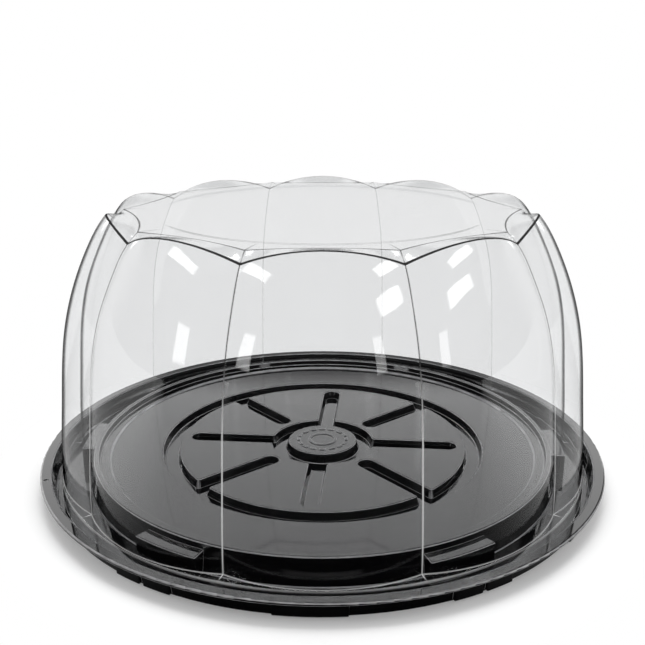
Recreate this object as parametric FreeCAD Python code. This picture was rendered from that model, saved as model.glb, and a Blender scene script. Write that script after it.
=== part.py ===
# Cake container in two formed sheets: a black base tray and a clear dome lid.
# The tray holds a round cake board inside a raised bead, and the lid's foot
# stands in the channel round the bead, so the lid lifts straight up and off.
# Millimetres, +Z up, origin on the floor under the middle of the tray.
import FreeCAD, Part
import math
import os

V = FreeCAD.Vector
FULL_TURN = 360.0

# Driving sizes of the whole container
board_diameter = 254.0
dome_height = 139.3
tray_wall = 0.6
lid_wall = 0.5

# Cuts run past the faces that they open by this much
overrun = 1.0

# Tray: seat of the cake board and the bead round it
board_clearance = 0.4
ledge_width = 6.0
ledge_step = 1.2
plate_height = 10.5
bead_rise = 4.5
bead_width = 2.6
bead_draft = 1.0
bead_round = 1.0
pedestal_draft = 2.2
corner_round = 1.2

# Tray: channel for the lid's foot, rim flange and its turned down lip
channel_width = 18.6
channel_draft = 1.8
rim_height = 11.2
rim_width = 6.0
rim_round = 0.9
lip_drop = 1.3

# Tray: hub, well, ring groove and the radial troughs between them
hub_radius = 20.0
hub_rise = 1.0
well_width = 9.8
relief_depth = 4.5
wall_draft = 1.3
groove_radius = 83.2
groove_width = 9.8
trough_width = 10.4
trough_floor_width = 7.4
trough_turn = -5.0
axial_trough_gap = 4.7
diagonal_trough_gap = 3.7
mouth_round = 2.0
edge_round = 0.7

# Tray: dashes on the hub
dash_count = 16
dash_radius = 14.0
dash_length = 3.4
dash_width = 1.5
dash_rise = 0.4
ring_radius = 7.5

# Tray: blocks on the pedestal and pockets in the channel's outer wall
station_count = 6
station_turn = -2.0
block_arc = 15.0
block_drop = 3.2
block_clearance = 2.6
pocket_reach = 2.0
pocket_height = 5.6
pocket_lift = 0.5
pair_pocket_arc = 5.2
pair_pocket_spread = 6.4
single_pocket_arc = 12.0

# Tray: one round dimple in the rim flange
dimple_radius = 1.5
dimple_angle = -71.0

# Lid: foot in the channel
lid_clearance = 0.8
seat_gap = 0.3
lid_flange_width = 2.6
skirt_height = 8.4
skirt_round = 1.4
skirt_step = 0.8

# Lid: lobes, from the shelf on the skirt up to the panel
lobe_count = 10
crease_depth = 5.2
panel_dish_depth = 0.9
panel_dish_draft = 3.0
panel_dish_margin = 9.0

# Meridians of the lid as shares of the lobes' foot radius and of the dome's height
lobe_shares = (
    (1.000, 0.000), (0.998, 0.080), (0.979, 0.330), (0.955, 0.560),
    (0.910, 0.745), (0.846, 0.905), (0.808, 0.975),
)
crest_shares = (0.777, 1.018)
panel_side_shares = (0.672, 1.000)
crease_shares = (
    (1.000, 0.000), (0.998, 0.080), (0.980, 0.330), (0.957, 0.560),
    (0.911, 0.745), (0.852, 0.875), (0.822, 0.930),
)
notch_shares = (0.798, 0.963)
panel_corner_shares = (0.762, 1.000)

# Radii and heights that follow
seat_radius = board_diameter / 2 + board_clearance
plate_radius = seat_radius - ledge_width
bead_radius = seat_radius + bead_draft + bead_width
pedestal_radius = bead_radius + pedestal_draft
channel_radius = pedestal_radius + channel_width
rim_inner_radius = channel_radius + channel_draft
rim_radius = rim_inner_radius + rim_width
bead_height = plate_height + bead_rise
lid_bottom = tray_wall + seat_gap
shelf_height = lid_bottom + skirt_height
flange_radius = channel_radius - lid_clearance
skirt_radius = flange_radius - lid_flange_width
lobe_radius = skirt_radius - skirt_step
crease_radius = lobe_radius - crease_depth
block_radius = crease_radius - lid_wall - block_clearance


def unit(start, end):
    """Direction from one (radius, height) point to the next."""
    run, rise = end[0] - start[0], end[1] - start[1]
    length = math.hypot(run, rise)
    return run / length, rise / length


def inset(points, depth):
    """An open outline of (radius, height) points moved to its right by depth, with mitred corners."""
    moved = []
    for index, point in enumerate(points):
        before = unit(points[index - 1], point) if index else None
        after = unit(point, points[index + 1]) if index + 1 < len(points) else before
        before = before or after
        right = (before[1] + after[1], -before[0] - after[0])
        scale = depth / (1 + before[0] * after[0] + before[1] * after[1])
        moved.append((point[0] + right[0] * scale, point[1] + right[1] * scale))
    return moved


def rounded_wire(corners):
    """Closed wire in the XZ plane through (radius, height, rounding) corners."""
    count = len(corners)
    ends = []
    edges = []
    for index, (radius, height, rounding) in enumerate(corners):
        here = (radius, height)
        back = unit(here, corners[index - 1][:2])
        ahead = unit(here, corners[(index + 1) % count][:2])
        if rounding:
            half = math.acos(back[0] * ahead[0] + back[1] * ahead[1]) / 2
            reach = rounding / math.tan(half)
            middle = unit((0, 0), (back[0] + ahead[0], back[1] + ahead[1]))
            depth = rounding / math.sin(half) - rounding
            first = V(here[0] + back[0] * reach, 0, here[1] + back[1] * reach)
            mid = V(here[0] + middle[0] * depth, 0, here[1] + middle[1] * depth)
            last = V(here[0] + ahead[0] * reach, 0, here[1] + ahead[1] * reach)
            edges.append(Part.Arc(first, mid, last).toShape())
            ends.append((first, last))
        else:
            ends.append((V(radius, 0, height),) * 2)
    for index in range(count):
        start, end = ends[index][1], ends[(index + 1) % count][0]
        edges.append(Part.makeLine(start, end))
    return Part.Wire(Part.__sortEdges__(edges))


def revolved(corners, first_angle=0.0, sweep=FULL_TURN):
    """Solid of revolution about Z; angle zero points to the front, along -Y."""
    face = Part.Face(rounded_wire(corners))
    face.rotate(V(0, 0, 0), V(0, 0, 1), first_angle - FULL_TURN / 4)
    return face.revolve(V(0, 0, 0), V(0, 0, 1), sweep)


def tray_outline():
    """The tray's upper surface from the axis outward, as (radius, height, rounding) corners."""
    floor = plate_height - relief_depth
    groove_outer = groove_radius + groove_width
    well_radius = hub_radius + well_width
    ledge = plate_height + ledge_step
    return (
        (0, plate_height + hub_rise, 0),
        (hub_radius, plate_height + hub_rise, edge_round),
        (hub_radius + wall_draft, floor, edge_round),
        (well_radius - wall_draft, floor, 0),
        (well_radius, plate_height, 0),
        (groove_radius, plate_height, 0),
        (groove_radius + wall_draft, floor, 0),
        (groove_outer - wall_draft, floor, edge_round),
        (groove_outer, plate_height, edge_round),
        (plate_radius, plate_height, edge_round),
        (plate_radius + ledge_step, ledge, edge_round),
        (seat_radius, ledge, edge_round),
        (seat_radius + bead_draft, bead_height, bead_round),
        (bead_radius, bead_height, bead_round),
        (pedestal_radius, tray_wall, corner_round),
        (channel_radius, tray_wall, corner_round),
        (rim_inner_radius, rim_height, corner_round),
        (rim_radius, rim_height, rim_round),
        (rim_radius, rim_height - lip_drop, 0),
    )


def under_tray(depth):
    """Everything below the tray's surface, taken the given depth under it."""
    top = tray_outline()
    if not depth:
        low = -overrun
        return revolved(top + ((rim_radius, low, 0), (0, low, 0)))
    points = inset([corner[:2] for corner in top], depth)
    points[-1] = (points[-1][0], rim_height - lip_drop)
    corners = tuple((max(point[0], 0), point[1], 0) for point in points)
    reach, low = rim_radius + overrun, -overrun - overrun
    return revolved(corners + ((reach, rim_height - lip_drop, 0), (reach, low, 0), (0, low, 0)))


def trough(flat_end, round_end, angle, depth):
    """Radial trough, flat at one end and round at the other, cut the given depth deeper and wider."""
    floor = plate_height - relief_depth - depth
    side = 1 if round_end > flat_end else -1
    taper = (trough_width - trough_floor_width) / 2 / relief_depth
    centre = round_end - side * trough_width / 2
    wires = []
    for height in (floor, plate_height + overrun):
        half = trough_floor_width / 2 + taper * (height - floor) + depth * (1 - taper)
        corners = [V(-half, -flat_end, height), V(-half, -centre, height)]
        corners += [V(half, -centre, height), V(half, -flat_end, height)]
        tip = V(0, -centre - side * half, height)
        edges = [Part.makeLine(corners[0], corners[1]), Part.Arc(corners[1], tip, corners[2]).toShape()]
        edges += [Part.makeLine(corners[2], corners[3]), Part.makeLine(corners[3], corners[0])]
        wires.append(Part.Wire(edges))
    solid = Part.makeLoft(wires, True, True)
    solid.rotate(V(0, 0, 0), V(0, 0, 1), angle)
    return solid


def troughs(depth):
    """Four troughs that open into the well and four that open into the ring groove."""
    well_middle = hub_radius + well_width / 2
    groove_middle = groove_radius + groove_width / 2
    axial_end = groove_radius - axial_trough_gap
    diagonal_end = hub_radius + well_width + diagonal_trough_gap
    solids = []
    for quarter in range(4):
        axial = trough_turn + quarter * FULL_TURN / 4
        solids.append(trough(well_middle, axial_end, axial, depth))
        solids.append(trough(groove_middle, diagonal_end, axial + FULL_TURN / 8, depth))
    return solids


def near(value, target):
    """True for two lengths that differ by less than a small part of the tray's wall."""
    return abs(value - target) < tray_wall / 8


def sector(inner, outer, low, high, angle, arc):
    """Piece of a ring about Z, with its middle at the given angle."""
    corners = ((inner, low, 0), (outer, low, 0), (outer, high, 0), (inner, high, 0))
    return revolved(corners, angle - arc / 2, arc)


def rounded_sector(solid, inner, low):
    """Rounds a sector's edges, apart from those on its inner face and those at the low height."""
    edges = []
    for edge in solid.Edges:
        reach = max(math.hypot(vertex.X, vertex.Y) for vertex in edge.Vertexes)
        top = max(vertex.Z for vertex in edge.Vertexes)
        if not near(reach, inner) and not near(top, low):
            edges.append(edge)
    return solid.makeFillet(edge_round, edges)


def blocks(depth):
    """Blocks on the pedestal's outer wall that guide the lid's foot down."""
    inner = seat_radius + bead_draft + bead_width / 2
    outer = block_radius - depth
    high = bead_height - block_drop - depth
    arc = block_arc - 2 * math.degrees(depth / outer)
    step = FULL_TURN / station_count
    solids = []
    for index in range(station_count):
        block = sector(inner, outer, -overrun, high, station_turn + step * (index + 0.5), arc)
        solids.append(block if depth else rounded_sector(block, inner, -overrun))
    return solids


def pockets(depth):
    """Outward pockets in the channel's outer wall: a pair at each block, one between blocks."""
    inner = channel_radius - corner_round
    outer = channel_radius + pocket_reach + depth
    low = tray_wall + pocket_lift - depth
    high = tray_wall + pocket_lift + pocket_height + depth
    widening = 2 * math.degrees(depth / outer)
    step = FULL_TURN / station_count
    solids = []
    for index in range(station_count):
        places = [(step * index, single_pocket_arc)]
        for side in (-1, 1):
            places.append((step * (index + 0.5) + side * pair_pocket_spread / 2, pair_pocket_arc))
        for angle, arc in places:
            pocket = sector(inner, outer, low, high, station_turn + angle, arc + widening)
            solids.append(rounded_sector(pocket, inner, -overrun) if depth else pocket)
    return solids


def dimple(depth):
    """Round dimple in the rim flange."""
    middle = (rim_inner_radius + rim_radius) / 2
    angle = math.radians(dimple_angle)
    place = V(middle * math.sin(angle), -middle * math.cos(angle), rim_height)
    return Part.makeSphere(dimple_radius + depth, place)


def hub_marks():
    """A ring and plain dashes raised on the hub."""
    low = plate_height + hub_rise - overrun
    tall = dash_rise + overrun
    ring = Part.makeCylinder(ring_radius + dash_width / 2, tall, V(0, 0, low))
    ring = ring.cut(Part.makeCylinder(ring_radius - dash_width / 2, tall, V(0, 0, low)))
    marks = [ring]
    for index in range(dash_count):
        corner = V(-dash_length / 2, -dash_radius - dash_width / 2, low)
        dash = Part.makeBox(dash_length, dash_width, tall, corner)
        dash.rotate(V(0, 0, 0), V(0, 0, 1), FULL_TURN * index / dash_count)
        marks.append(dash)
    return marks


def round_mouths(solid):
    """Rounds the corners where troughs open out, then all edges of the raised disc."""
    floor = plate_height - relief_depth
    mouths = []
    for edge in solid.Edges:
        heights = sorted(vertex.Z for vertex in edge.Vertexes)
        if len(heights) == 2 and near(heights[0], floor) and near(heights[1], plate_height):
            radius = math.hypot(edge.Vertexes[0].X, edge.Vertexes[0].Y)
            middle = edge.valueAt((edge.FirstParameter + edge.LastParameter) / 2)
            straight = math.hypot(middle.x, middle.y)
            at_well = straight < hub_radius + well_width + wall_draft
            at_groove = straight > groove_radius - wall_draft
            if radius and (at_well or at_groove):
                mouths.append(edge)
    solid = solid.makeFillet(mouth_round, mouths)
    rims = []
    for edge in solid.Edges:
        box = edge.BoundBox
        reach = max(math.hypot(vertex.X, vertex.Y) for vertex in edge.Vertexes)
        if near(box.ZMin, plate_height) and near(box.ZMax, plate_height) and reach < groove_radius + wall_draft:
            rims.append(edge)
    return solid.makeFillet(edge_round, rims)


def base_tray():
    upper = under_tray(0).cut(troughs(0)).removeSplitter()
    upper = round_mouths(upper)
    upper = upper.fuse(blocks(0) + hub_marks()).cut(pockets(0) + [dimple(0)])
    lower = under_tray(tray_wall).cut(troughs(tray_wall))
    lower = lower.fuse(blocks(tray_wall)).cut(pockets(tray_wall) + [dimple(tray_wall)])
    return upper.cut(lower)


def meridian(shares, foot):
    """Shares turned into (radius, height) points of the lid."""
    return [(foot * radius, shelf_height + dome_height * height) for radius, height in shares]


def scalloped_wire(crease, middle):
    """Closed wire of arcs, one for each lobe, through (radius, height) points at creases and middles."""
    step = 2 * math.pi / lobe_count

    def place(point, angle):
        return V(point[0] * math.sin(angle), -point[0] * math.cos(angle), point[1])

    arcs = []
    for index in range(lobe_count):
        start = place(crease, step * (index - 0.5))
        crown = place(middle, step * index)
        end = place(crease, step * (index + 0.5))
        arcs.append(Part.Arc(start, crown, end).toShape())
    return Part.Wire(arcs)


def lobed_solid(depth):
    """The lid's lobes and panel as a full solid, drawn in by depth."""
    top = shelf_height + dome_height
    middles = meridian(lobe_shares + (crest_shares, panel_side_shares), lobe_radius)
    creases = meridian(crease_shares + (notch_shares, panel_corner_shares), crease_radius)
    middles = inset([*middles, (0, top)], -depth)[:-1]
    creases = inset([*creases, (0, top)], -depth)[:-1]
    drop = depth + overrun
    middles[0] = (middles[0][0], shelf_height - drop)
    creases[0] = (creases[0][0], shelf_height - drop)
    wires = [scalloped_wire(crease, middle) for crease, middle in zip(creases, middles)]
    wall = Part.makeLoft(wires[:-1], False, False)
    band = Part.makeLoft(wires[-2:], False, True)
    faces = wall.Faces + band.Faces + [Part.Face(wires[0]), Part.Face(wires[-1])]
    shell = Part.Compound(faces)
    shell.sewShape()
    solid = Part.Solid(Part.Shell(shell.Faces))
    if solid.Volume < 0:
        solid.reverse()
    return solid.cut(panel_dish(depth))


def panel_dish(depth):
    """Shallow round dish in the panel."""
    rim = lobe_radius * panel_side_shares[0] - panel_dish_margin
    top = shelf_height + dome_height - depth
    corners = ((0, top - panel_dish_depth, 0), (rim - panel_dish_draft, top - panel_dish_depth, 0))
    corners += ((rim, top, 0), (rim, top + overrun, 0), (0, top + overrun, 0))
    return revolved(corners)


def dome_lid():
    rounding = skirt_round
    outer = lobed_solid(0).fuse([
        revolved((
            (0, lid_bottom, 0), (skirt_radius, lid_bottom, 0),
            (skirt_radius, shelf_height, rounding), (0, shelf_height, 0),
        )),
        Part.makeCylinder(flange_radius, lid_wall, V(0, 0, lid_bottom)),
    ])
    bore = skirt_radius - lid_wall
    ceiling = shelf_height - lid_wall
    inner = lobed_solid(lid_wall).fuse(revolved((
        (0, lid_bottom - overrun, 0), (bore, lid_bottom - overrun, 0),
        (bore, ceiling, rounding - lid_wall), (0, ceiling, 0),
    )))
    return outer.cut(inner)


def keep(shape, name):
    solids = shape.Solids
    print(name, "solids", len(solids), "volume", round(shape.Volume), "valid", shape.isValid())
    Part.Compound(solids).exportStep("parts/" + name + ".step")


os.makedirs("parts", exist_ok=True)
keep(base_tray(), "base_tray")
keep(dome_lid(), "dome_lid")
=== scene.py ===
import math

import bpy
import numpy as np
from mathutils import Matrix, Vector

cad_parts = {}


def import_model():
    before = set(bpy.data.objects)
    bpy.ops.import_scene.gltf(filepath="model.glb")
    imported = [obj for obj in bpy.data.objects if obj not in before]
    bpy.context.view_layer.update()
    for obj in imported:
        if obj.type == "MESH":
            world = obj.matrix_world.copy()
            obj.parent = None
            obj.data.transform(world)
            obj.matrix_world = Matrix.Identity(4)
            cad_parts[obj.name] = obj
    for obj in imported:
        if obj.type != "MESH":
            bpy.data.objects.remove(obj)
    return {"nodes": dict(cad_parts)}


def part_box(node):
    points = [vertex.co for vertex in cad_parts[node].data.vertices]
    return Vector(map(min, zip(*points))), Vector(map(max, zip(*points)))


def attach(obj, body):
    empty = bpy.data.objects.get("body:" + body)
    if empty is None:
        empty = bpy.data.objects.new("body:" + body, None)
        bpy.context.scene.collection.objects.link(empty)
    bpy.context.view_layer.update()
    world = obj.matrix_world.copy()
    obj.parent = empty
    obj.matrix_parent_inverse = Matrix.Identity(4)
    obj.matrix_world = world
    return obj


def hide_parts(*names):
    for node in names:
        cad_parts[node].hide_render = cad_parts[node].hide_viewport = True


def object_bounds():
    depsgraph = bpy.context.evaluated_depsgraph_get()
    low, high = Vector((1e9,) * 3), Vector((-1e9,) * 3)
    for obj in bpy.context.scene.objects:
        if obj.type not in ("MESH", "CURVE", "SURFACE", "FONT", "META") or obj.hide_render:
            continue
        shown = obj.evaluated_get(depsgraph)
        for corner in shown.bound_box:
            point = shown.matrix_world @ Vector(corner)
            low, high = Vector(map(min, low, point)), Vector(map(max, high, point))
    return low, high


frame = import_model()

cad_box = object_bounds()

# Camera: where it stands from the middle of the tray's plate, and how it looks
plate_height = 0.0105
camera_distance = 0.5147
camera_elevation = 25.14
camera_pitch = 17.33
camera_angle = 41.06
camera_near = 0.01

# Grains: noise scale and detail
black_grain = (90.0, 3.0)
edge_highlight_grain = (130.0, 2.0)
tray_haze_grain = (35.0, 4.0)
tray_wave_grain = (160.0, 1.0)
lid_haze_grain = (60.0, 3.0)
lid_wave_grain = (45.0, 1.0)

# Tray: black sheet, with patchy painted highlights where it slants or turns at an edge
black_low = (0.0015, 0.0015, 0.0017)
black_high = (0.004, 0.004, 0.0043)
# Grey of the highlights painted on the tray's edges and slanting roundings
painted_highlight_grey = (0.32, 0.32, 0.325)
edge_highlight_width = 0.0005
edge_highlight_samples = 8
edge_highlight_turn = (0.985, 0.90)
highlight_slant_low = (0.34, 0.55)
highlight_slant_high = (0.93, 0.78)
highlight_cover = (0.3, 1.0)
tray_index = 1.5
tray_roughness = (0.02, 0.08)
tray_wave_height = 0.000005

# Lid: clear sheet, darker where it is seen on edge (a little from its longer path, mostly painted shade),
# with lines painted along its folds: pale painted highlights low down and dark painted shade near its top
clear_tint = (0.966, 0.968, 0.970)
# Dark where the sheet is seen on edge: a little from its longer path, mostly painted shade
edge_absorption_and_shade = (0.06, 0.06, 0.062)
edge_facing = (0.80, 0.95)
edge_slant = (0.85, 0.45)
rim_facing = (0.90, 0.97)
facing_blend = 0.5
mirror_least = 0.04
mirror_gain = 0.35
mirror_power = 5.0
edge_mirror_share = 0.2
lid_roughness = (0.004, 0.02)
lid_wave_height = 0.00008
# Lines painted along the folds: pale painted highlights below the lower height, dark painted shade above the
# upper one, weaker from inside
painted_line_heights = (0.07, 0.105)
painted_line_greys = (0.75, 0.03)
painted_line_outside = 0.95
painted_line_inside = 0.35

# Lid: sizes of its solid
lid_wall = 0.0005
lid_flange_width = 0.0026
skirt_height = 0.0084
skirt_step = 0.0008
dome_height = 0.1393
lobe_count = 10
crease_depth = 0.0052
panel_dish_depth = 0.0009
panel_dish_draft = 0.003
panel_dish_margin = 0.009

# Lid: how far its folds reach from their corners, and how strongly lines are painted along them
fold_reach = 0.0006
crest_reach = 0.0008
skirt_reach = 0.0014
dish_reach = 0.0025
crease_reach = 0.0004
corner_share = 0.45
fold_shares = (0.0, 0.8, 1.0, 0.8, 0.0)
flange_fold = 0.3
skirt_fold = 0.4
foot_fold = 0.6
crest_fold = 2.0
panel_fold = 0.9
fold_width = 0.0003
full_crease_slope = 0.2

# Lid: its mesh, with columns from a crease to the middle of a lobe placed as parts of a span
wall_rows = 44
band_rows = 4
column_parts = (0.2, 0.4, 0.7, 1.1, 1.7, 2.6, 4.0, 6.0, 9.0, 13.0, 18.0, 24.0, 30.0, 38.0)
column_span = 46.0
sharp_angle = 60.0

# Meridians of the lid as shares of their foot's radius and of the dome's height
lobe_shares = (
    (1.000, 0.000), (0.998, 0.080), (0.979, 0.330), (0.955, 0.560),
    (0.910, 0.745), (0.846, 0.905), (0.808, 0.975),
)
crest_shares = (0.777, 1.018)
panel_side_shares = (0.672, 1.000)
crease_shares = (
    (1.000, 0.000), (0.998, 0.080), (0.980, 0.330), (0.957, 0.560),
    (0.911, 0.745), (0.852, 0.875), (0.822, 0.930),
)
notch_shares = (0.798, 0.963)
panel_corner_shares = (0.762, 1.000)

# Floor under the object: plain white farther out, and dimmer in mirrors towards the front
floor_drop = 0.0003
floor_reach = 30.0
floor_grey = 0.86
floor_fill = 0.14
shadow_radius = 0.158
white_radius = 0.192
mirror_front = -0.13
mirror_back = 0.07
mirror_spread = 0.6

# Background: its light on the object, and where mirrored rays see it white
sky_light = 0.55
sky_mirrored = (0.03, 1.0)
sky_behind = (0.1, 0.65)
sky_below = (0.40, 0.26)

# Softboxes: azimuth from the front, elevation, width, height and radiance
softbox_distance = 1.3
softbox_fade = 0.12
softboxes = (
    (-68.0, 41.0, 0.74, 0.17, 5.0),
    (-48.0, 14.0, 0.22, 0.34, 4.0),
    (69.0, 44.0, 0.64, 0.18, 5.0),
    (54.0, 30.0, 0.54, 0.13, 5.0),
    (35.0, 15.0, 0.15, 0.34, 3.0),
    (-135.0, 24.0, 0.12, 0.70, 4.0),
    (135.0, 24.0, 0.12, 0.70, 4.0),
    (178.0, 80.0, 1.00, 0.70, 6.0),
)

# Panels on four sides that light the tray, but not the lid
tray_panels = (
    (180.0, 29.0, 1.90, 0.62, 2.0),
    (90.0, 32.0, 1.10, 0.50, 1.6),
    (0.0, 32.0, 1.10, 0.50, 1.6),
    (-90.0, 32.0, 1.10, 0.50, 1.6),
)


def node_tree(name):
    """A new material with an empty node tree and its output node."""
    material = bpy.data.materials.new(name)
    material.use_nodes = True
    tree = material.node_tree
    tree.nodes.clear()
    output = tree.nodes.new("ShaderNodeOutputMaterial")
    return material, tree, output


def math_node(tree, operation, first, second):
    """A math node fed by two sockets or numbers."""
    node = tree.nodes.new("ShaderNodeMath")
    node.operation = operation
    for socket, value in zip(node.inputs, (first, second)):
        if isinstance(value, (int, float)):
            socket.default_value = value
        else:
            tree.links.new(value, socket)
    return node.outputs[0]


def coordinates(tree, kind):
    """Texture coordinates of the given kind."""
    return tree.nodes.new("ShaderNodeTexCoord").outputs[kind]


def axes(tree, vector):
    """The X, Y and Z of a vector."""
    split = tree.nodes.new("ShaderNodeSeparateXYZ")
    tree.links.new(vector, split.inputs["Vector"])
    return split.outputs


def noise(tree, scale, detail):
    """Noise of the given scale over the piece's own coordinates."""
    texture = tree.nodes.new("ShaderNodeTexNoise")
    texture.inputs["Scale"].default_value = scale
    texture.inputs["Detail"].default_value = detail
    tree.links.new(coordinates(tree, "Object"), texture.inputs["Vector"])
    return texture.outputs["Fac"]


def mixed(tree, factor, first, second):
    """A number between two sockets or numbers."""
    node = tree.nodes.new("ShaderNodeMix")
    node.data_type = "FLOAT"
    tree.links.new(factor, node.inputs["Factor"])
    for name, value in (("A", first), ("B", second)):
        if isinstance(value, (int, float)):
            node.inputs[name].default_value = value
        else:
            tree.links.new(value, node.inputs[name])
    return node.outputs["Result"]


def blended(tree, factor, first, second):
    """A colour between two sockets or colours."""
    node = tree.nodes.new("ShaderNodeMix")
    node.data_type = "RGBA"
    tree.links.new(factor, node.inputs["Factor"])
    for name, value in (("A", first), ("B", second)):
        if isinstance(value, tuple):
            node.inputs[name].default_value = (*value, 1)
        else:
            tree.links.new(value, node.inputs[name])
    return node.outputs["Result"]


def layered(tree, factor, under, over):
    """A shader between two shaders."""
    node = tree.nodes.new("ShaderNodeMixShader")
    tree.links.new(factor, node.inputs["Fac"])
    tree.links.new(under, node.inputs[1])
    tree.links.new(over, node.inputs[2])
    return node.outputs["Shader"]


def spread(tree, value, low, high, start=0.0, end=1.0):
    """A value from start to end mapped onto a range."""
    node = tree.nodes.new("ShaderNodeMapRange")
    tree.links.new(value, node.inputs["Value"])
    node.inputs["From Min"].default_value = start
    node.inputs["From Max"].default_value = end
    node.inputs["To Min"].default_value = low
    node.inputs["To Max"].default_value = high
    return node.outputs["Result"]


def step(tree, value, start, end):
    """A smooth step from 0 to 1 while a value goes from start to end."""
    node = tree.nodes.new("ShaderNodeMapRange")
    node.interpolation_type = "SMOOTHSTEP"
    tree.links.new(value, node.inputs["Value"])
    node.inputs["From Min"].default_value = start
    node.inputs["From Max"].default_value = end
    return node.outputs["Result"]


def bump(tree, height, distance):
    """A normal from a height map, with its full height in metres."""
    node = tree.nodes.new("ShaderNodeBump")
    node.inputs["Strength"].default_value = 1.0
    node.inputs["Distance"].default_value = distance
    tree.links.new(height, node.inputs["Height"])
    return node.outputs["Normal"]


def slant(tree):
    """How far the surface faces up or down, from 0 on a wall to 1 on a flat."""
    return math_node(tree, "ABSOLUTE", axes(tree, coordinates(tree, "Normal"))["Z"], 0.0)


def seen_rays(tree):
    """1 for rays that show the background: from the camera, mirrored, or through a clear piece."""
    path = tree.nodes.new("ShaderNodeLightPath")
    seen = math_node(tree, "MAXIMUM", path.outputs["Is Camera Ray"], path.outputs["Is Glossy Ray"])
    return math_node(tree, "MAXIMUM", seen, path.outputs["Is Transmission Ray"])


def painted_edge_highlights(tree):
    """Where the tray gets painted highlights: patchy, on its slanting roundings and along its sharp edges.
    """
    up = slant(tree)
    rounds = math_node(tree, "MULTIPLY", step(tree, up, *highlight_slant_low), step(tree, up, *highlight_slant_high))
    rounded = tree.nodes.new("ShaderNodeBevel")
    rounded.samples = edge_highlight_samples
    rounded.inputs["Radius"].default_value = edge_highlight_width
    surface = tree.nodes.new("ShaderNodeNewGeometry")
    turn = tree.nodes.new("ShaderNodeVectorMath")
    turn.operation = "DOT_PRODUCT"
    tree.links.new(rounded.outputs["Normal"], turn.inputs[0])
    tree.links.new(surface.outputs["Normal"], turn.inputs[1])
    edges = math_node(tree, "MAXIMUM", rounds, step(tree, turn.outputs["Value"], *edge_highlight_turn))
    return math_node(tree, "MULTIPLY", edges, spread(tree, noise(tree, *edge_highlight_grain), *highlight_cover))


def black_plastic():
    """Glossy black sheet with the faint waviness and haze of a formed tray, with painted highlights on its
    edges.
    """
    material, tree, output = node_tree("black_sheet")
    shader = tree.nodes.new("ShaderNodeBsdfPrincipled")
    shader.inputs["IOR"].default_value = tray_index
    black = blended(tree, noise(tree, *black_grain), black_low, black_high)
    # Painted highlights over the black, on the edges and slanting roundings
    tree.links.new(blended(tree, painted_edge_highlights(tree), black, painted_highlight_grey), shader.inputs["Base Color"])
    haze = spread(tree, noise(tree, *tray_haze_grain), *tray_roughness)
    tree.links.new(haze, shader.inputs["Roughness"])
    waves = bump(tree, noise(tree, *tray_wave_grain), tray_wave_height)
    tree.links.new(waves, shader.inputs["Normal"])
    tree.links.new(shader.outputs["BSDF"], output.inputs["Surface"])
    return material


def clear_film(tree):
    """A thin clear sheet that mirrors what is about it, and turns dark where it is seen on edge: a little
    from its longer path, mostly painted shade.
    """
    weight = tree.nodes.new("ShaderNodeLayerWeight")
    weight.inputs["Blend"].default_value = facing_blend
    facing = weight.outputs["Facing"]
    # Painted shade where the sheet is seen on edge, mostly on its walls
    wall_edge = step(tree, facing, *edge_facing)
    edge = math_node(tree, "MULTIPLY", wall_edge, step(tree, slant(tree), *edge_slant))
    edge = math_node(tree, "MAXIMUM", edge, step(tree, facing, *rim_facing))
    mirror = math_node(tree, "MULTIPLY", math_node(tree, "POWER", facing, mirror_power), mirror_gain)
    mirror = math_node(tree, "ADD", mirror, mirror_least)
    mirror = math_node(tree, "MULTIPLY", mirror, mixed(tree, edge, 1.0, edge_mirror_share))
    film = tree.nodes.new("ShaderNodeBsdfTransparent")
    tree.links.new(blended(tree, edge, clear_tint, edge_absorption_and_shade), film.inputs["Color"])
    gloss = tree.nodes.new("ShaderNodeBsdfGlossy")
    haze = spread(tree, noise(tree, *lid_haze_grain), *lid_roughness)
    tree.links.new(haze, gloss.inputs["Roughness"])
    waves = bump(tree, noise(tree, *lid_wave_grain), lid_wave_height)
    tree.links.new(waves, gloss.inputs["Normal"])
    return layered(tree, mirror, film.outputs["BSDF"], gloss.outputs["BSDF"])


def clear_plastic():
    """Clear sheet with lines painted along its folds, pale painted highlights low down and dark painted
    shade near its top, which are fainter when seen from inside.
    """
    material, tree, output = node_tree("clear_sheet")
    fold = tree.nodes.new("ShaderNodeAttribute")
    fold.attribute_name = "fold"
    height = axes(tree, coordinates(tree, "Object"))["Z"]
    # Painted lines along the folds: highlight grey low down, shade grey near the top
    painted_line = tree.nodes.new("ShaderNodeBsdfDiffuse")
    tree.links.new(spread(tree, height, *painted_line_greys, *painted_line_heights), painted_line.inputs["Color"])
    side = tree.nodes.new("ShaderNodeNewGeometry")
    strength = mixed(tree, side.outputs["Backfacing"], painted_line_outside, painted_line_inside)
    painted_line_cover = math_node(tree, "MULTIPLY", fold.outputs["Fac"], strength)
    with_painted_lines = layered(tree, painted_line_cover, clear_film(tree), painted_line.outputs["BSDF"])
    tree.links.new(with_painted_lines, output.inputs["Surface"])
    return material


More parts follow.
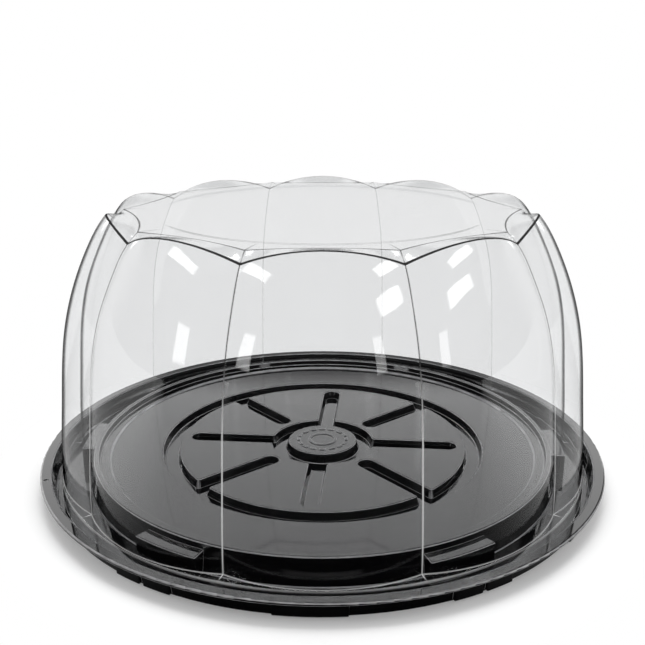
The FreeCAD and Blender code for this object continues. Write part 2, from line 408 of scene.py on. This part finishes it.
def smooth_line(points, spans):
    """Points along a natural cubic spline through (radius, height) points, ends left out."""
    knots = np.array(points)
    lengths = np.linalg.norm(np.diff(knots, axis=0), axis=1)
    count = len(knots)
    system = np.eye(count)
    bends = np.zeros_like(knots)
    slopes = np.diff(knots, axis=0) / lengths[:, None]
    for index in range(1, count - 1):
        before, after = lengths[index - 1], lengths[index]
        system[index, index - 1:index + 2] = before, 2 * (before + after), after
        bends[index] = 6 * (slopes[index] - slopes[index - 1])
    curve = np.linalg.solve(system, bends)
    ends = np.concatenate(([0.0], np.cumsum(lengths)))
    line = []
    for place in np.linspace(0, ends[-1], spans + 1)[1:-1]:
        index = min(int(np.searchsorted(ends, place, side="right")) - 1, count - 2)
        length = lengths[index]
        left, right = (ends[index + 1] - place) / length, (place - ends[index]) / length
        bend = (left ** 3 - left) * curve[index] + (right ** 3 - right) * curve[index + 1]
        line.append(left * knots[index] + right * knots[index + 1] + bend * length ** 2 / 6)
    return line


def rounded_corner(before, corner, after, reach):
    """Points of a curve that rounds a corner."""
    start = corner + (before - corner) * min(reach / np.linalg.norm(before - corner), corner_share)
    end = corner + (after - corner) * min(reach / np.linalg.norm(after - corner), corner_share)
    shares = np.linspace(0, 1, len(fold_shares))
    return [start * (1 - t) ** 2 + corner * 2 * t * (1 - t) + end * t ** 2 for t in shares]


def lobe_foot():
    """Radius of the lobes where they stand on the skirt."""
    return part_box("dome_lid")[1].x - lid_flange_width - skirt_step


def lid_meridian(foot, wall_shares, crest, panel):
    """A meridian of the lid's outside, from the flange inwards, with a fold weight per point."""
    low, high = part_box("dome_lid")
    flange_top = low.z + lid_wall
    shelf = low.z + skirt_height
    skirt = high.x - lid_flange_width
    top = shelf + dome_height
    dish = lobe_foot() * panel_side_shares[0] - panel_dish_margin
    shares = (*wall_shares, crest)
    wall = [np.array((foot * radius, shelf + dome_height * height)) for radius, height in shares]
    ridge = wall[-1]
    panel_edge = np.array((foot * panel[0], top))
    line = [(np.array((high.x, flange_top)), 0, 0)]
    line.append((np.array((skirt, flange_top)), fold_reach, flange_fold))
    line.append((np.array((skirt, shelf)), skirt_reach, skirt_fold))
    line.append((wall[0], fold_reach, foot_fold))
    line += [(point, 0, 0) for point in smooth_line(wall, wall_rows)]
    line.append((ridge, crest_reach, crest_fold))
    line += [(ridge + (panel_edge - ridge) * row / band_rows, 0, 0) for row in range(1, band_rows)]
    line.append((panel_edge, fold_reach, panel_fold))
    line.append((np.array((dish, top)), dish_reach, 0))
    line.append((np.array((dish - panel_dish_draft, top - panel_dish_depth)), dish_reach, 0))
    line.append((np.array((dish / 2, top - panel_dish_depth)), 0, 0))
    points = []
    folds = []
    for index, (point, reach, weight) in enumerate(line):
        if reach:
            points += rounded_corner(line[index - 1][0], point, line[index + 1][0], reach)
            folds += [weight * share for share in fold_shares]
        else:
            points.append(point)
            folds.append(0.0)
    return points, folds


def lid_shell():
    """The lid as one closed sheet, with its lobes as arcs and its creases and edges rounded."""
    foot = lobe_foot()
    middles, folds = lid_meridian(foot, lobe_shares, crest_shares, panel_side_shares)
    creases, _ = lid_meridian(foot - crease_depth, crease_shares, notch_shares, panel_corner_shares)
    half = math.pi / lobe_count
    sides = [1 - part / column_span for part in (0.0, *column_parts, column_span)]
    columns = [-side for side in sides] + [side for side in reversed(sides[1:-1])]
    outside = []
    weights = []
    for crease, middle, fold in zip(creases, middles, folds):
        chord = crease[0] * math.sin(half)
        base = np.array((crease[0] * math.cos(half), crease[1]))
        sag = np.linalg.norm(middle - base)
        rise = (middle - base) / sag
        radius = (chord ** 2 + sag ** 2) / (2 * sag)
        sweep = math.atan2(chord, radius - sag)
        slope = math.tan(sweep - math.copysign(half, rise[0]))
        for lobe in range(lobe_count):
            turn = 2 * half * lobe
            for column in columns:
                reach = (1 - abs(column)) * radius * sweep
                lift = slope * (math.hypot(reach, crease_reach) - reach)
                along = radius * math.sin(column * sweep)
                out = base + rise * (radius * math.cos(column * sweep) - radius + sag + lift)
                outside.append((
                    along * math.cos(turn) + out[0] * math.sin(turn),
                    along * math.sin(turn) - out[0] * math.cos(turn),
                    out[1],
                ))
                # Weight of the line painted along a crease
                painted_line = math.exp(-(reach / fold_width) ** 2) * min(abs(slope) / full_crease_slope, 1.0)
                weights.append(max(fold, painted_line))
    return sheet("lid_shell", outside, weights, len(columns) * lobe_count)


def sheet(name, outside, weights, around):
    """A closed sheet of the lid's thickness under rings of points, with its middle closed by a fan."""
    rings = len(outside) // around
    outside = [*outside, (0.0, 0.0, outside[-1][2])]
    weights = [*weights, 0.0]
    count = len(outside)
    hub = count - 1
    faces = []
    for ring in range(rings):
        for column in range(around):
            here = ring * around + column
            beside = ring * around + (column + 1) % around
            if ring + 1 < rings:
                faces.append((here, beside, beside + around, here + around))
            else:
                faces.append((here, beside, hub))
    skin = bpy.data.meshes.new("skin")
    skin.from_pydata(outside, [], faces)
    inside = [vertex.co - vertex.normal * lid_wall for vertex in skin.vertices]
    bpy.data.meshes.remove(skin)
    inner = [tuple(index + count for index in reversed(face)) for face in faces]
    rim = []
    for column in range(around):
        beside = (column + 1) % around
        rim.append((column + count, beside + count, beside, column))
    mesh = bpy.data.meshes.new(name)
    mesh.from_pydata([*outside, *inside], [], faces + inner + rim)
    mesh.shade_smooth()
    mesh.set_sharp_from_angle(angle=math.radians(sharp_angle))
    # Weights of the lines painted along the folds
    fold = mesh.attributes.new("fold", "FLOAT", "POINT")
    fold.data.foreach_set("value", [*weights, *np.zeros(count)])
    piece = bpy.data.objects.new(name, mesh)
    bpy.context.collection.objects.link(piece)
    return piece


def white_floor():
    """White floor that takes the object's shadow and turns plain white farther out."""
    material, tree, output = node_tree("white_floor")
    place = coordinates(tree, "Object")
    length = tree.nodes.new("ShaderNodeVectorMath")
    length.operation = "LENGTH"
    tree.links.new(place, length.inputs[0])
    far = step(tree, length.outputs["Value"], shadow_radius, white_radius)
    split = axes(tree, place)
    aside = math_node(tree, "MULTIPLY", math_node(tree, "ABSOLUTE", split["X"], 0.0), mirror_spread)
    depth = step(tree, math_node(tree, "ADD", split["Y"], aside), mirror_front, mirror_back)
    path = tree.nodes.new("ShaderNodeLightPath")
    level = mixed(tree, path.outputs["Is Glossy Ray"], 1.0, depth)
    matt = tree.nodes.new("ShaderNodeBsdfDiffuse")
    tree.links.new(math_node(tree, "MULTIPLY", level, floor_grey), matt.inputs["Color"])
    fill = tree.nodes.new("ShaderNodeEmission")
    shown = math_node(tree, "MULTIPLY", seen_rays(tree), floor_fill)
    tree.links.new(math_node(tree, "MULTIPLY", shown, level), fill.inputs["Strength"])
    near = tree.nodes.new("ShaderNodeAddShader")
    tree.links.new(matt.outputs["BSDF"], near.inputs[0])
    tree.links.new(fill.outputs["Emission"], near.inputs[1])
    white = tree.nodes.new("ShaderNodeEmission")
    tree.links.new(level, white.inputs["Strength"])
    ground = layered(tree, far, near.outputs["Shader"], white.outputs["Emission"])
    tree.links.new(ground, output.inputs["Surface"])
    return material


def floor():
    """A wide floor just under the tray."""
    mesh = bpy.data.meshes.new("floor")
    corners = [(side * floor_reach, -floor_reach, -floor_drop) for side in (-1, 1)]
    corners += [(side * floor_reach, floor_reach, -floor_drop) for side in (1, -1)]
    mesh.from_pydata(corners, [], [(0, 1, 2, 3)])
    mesh.materials.append(white_floor())
    plane = bpy.data.objects.new("floor", mesh)
    bpy.context.collection.objects.link(plane)


def world():
    """White background for the camera, which mirrored rays see white only low behind the object."""
    sky = bpy.data.worlds.new("studio")
    bpy.context.scene.world = sky
    sky.use_nodes = True
    tree = sky.node_tree
    tree.nodes.clear()
    output = tree.nodes.new("ShaderNodeOutputWorld")
    light = tree.nodes.new("ShaderNodeBackground")
    light.inputs["Color"].default_value = (1, 1, 1, 1)
    split = axes(tree, coordinates(tree, "Generated"))
    behind = step(tree, split["Y"], *sky_behind)
    below = step(tree, split["Z"], *sky_below)
    sky_level = spread(tree, math_node(tree, "MULTIPLY", behind, below), *sky_mirrored)
    rays = tree.nodes.new("ShaderNodeLightPath").outputs
    mirrored = math_node(tree, "MAXIMUM", rays["Is Glossy Ray"], rays["Is Transmission Ray"])
    level = mixed(tree, mirrored, sky_light, sky_level)
    level = mixed(tree, rays["Is Camera Ray"], level, 1.0)
    tree.links.new(level, light.inputs["Strength"])
    tree.links.new(light.outputs["Background"], output.inputs["Surface"])


def direction(azimuth, elevation):
    """Unit vector from the object, with azimuth 0 to the front and 90 to the right."""
    turn = math.radians(azimuth)
    rise = math.radians(elevation)
    return Vector((math.sin(turn) * math.cos(rise), -math.cos(turn) * math.cos(rise), math.sin(rise)))


def softbox(name, azimuth, elevation, width, height, radiance):
    """An area lamp aimed at the middle of the object, which fades towards its own edges."""
    aim = Vector((0, 0, (cad_box[0][2] + cad_box[1][2]) / 2))
    data = bpy.data.lights.new(name, "AREA")
    data.shape = "RECTANGLE"
    data.size = width
    data.size_y = height
    data.energy = radiance * math.pi * width * height
    data.use_nodes = True
    tree = data.node_tree
    split = axes(tree, tree.nodes.new("ShaderNodeNewGeometry").outputs["Parametric"])
    inward = []
    for axis in ("X", "Y"):
        far = math_node(tree, "SUBTRACT", 1.0, split[axis])
        inward.append(step(tree, math_node(tree, "MINIMUM", split[axis], far), 0.0, softbox_fade))
    tree.links.new(math_node(tree, "MULTIPLY", *inward), tree.nodes["Emission"].inputs["Strength"])
    lamp = bpy.data.objects.new(name, data)
    towards = direction(azimuth, elevation)
    lamp.location = aim + towards * softbox_distance
    lamp.rotation_euler = towards.to_track_quat("Z", "Y").to_euler()
    bpy.context.collection.objects.link(lamp)
    return lamp


def lamps():
    """Softboxes round the object, and the tray's own panels."""
    for index, values in enumerate(softboxes):
        softbox(f"softbox_{index}", *values)
    tray = bpy.data.collections.new("tray_light")
    tray.objects.link(frame["nodes"]["base_tray"])
    for index, values in enumerate(tray_panels):
        softbox(f"tray_panel_{index}", *values).light_linking.receiver_collection = tray


def camera():
    """The photograph's camera."""
    data = bpy.data.cameras.new("camera")
    data.sensor_fit = "HORIZONTAL"
    data.angle = math.radians(camera_angle)
    data.clip_start = camera_near
    eye = bpy.data.objects.new("camera", data)
    eye.location = direction(0, camera_elevation) * camera_distance + Vector((0, 0, plate_height))
    eye.rotation_euler = (math.radians(90 - camera_pitch), 0, 0)
    bpy.context.collection.objects.link(eye)
    bpy.context.scene.camera = eye


def dress(node, material):
    """Gives a CAD node its material."""
    for slot in frame["nodes"][node].material_slots:
        slot.material = material


dress("base_tray", black_plastic())
lid = lid_shell()
lid.data.materials.append(clear_plastic())
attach(lid, "lid")
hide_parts("dome_lid")
floor()
world()
lamps()
camera()
bpy.context.scene.view_settings.view_transform = "Standard"
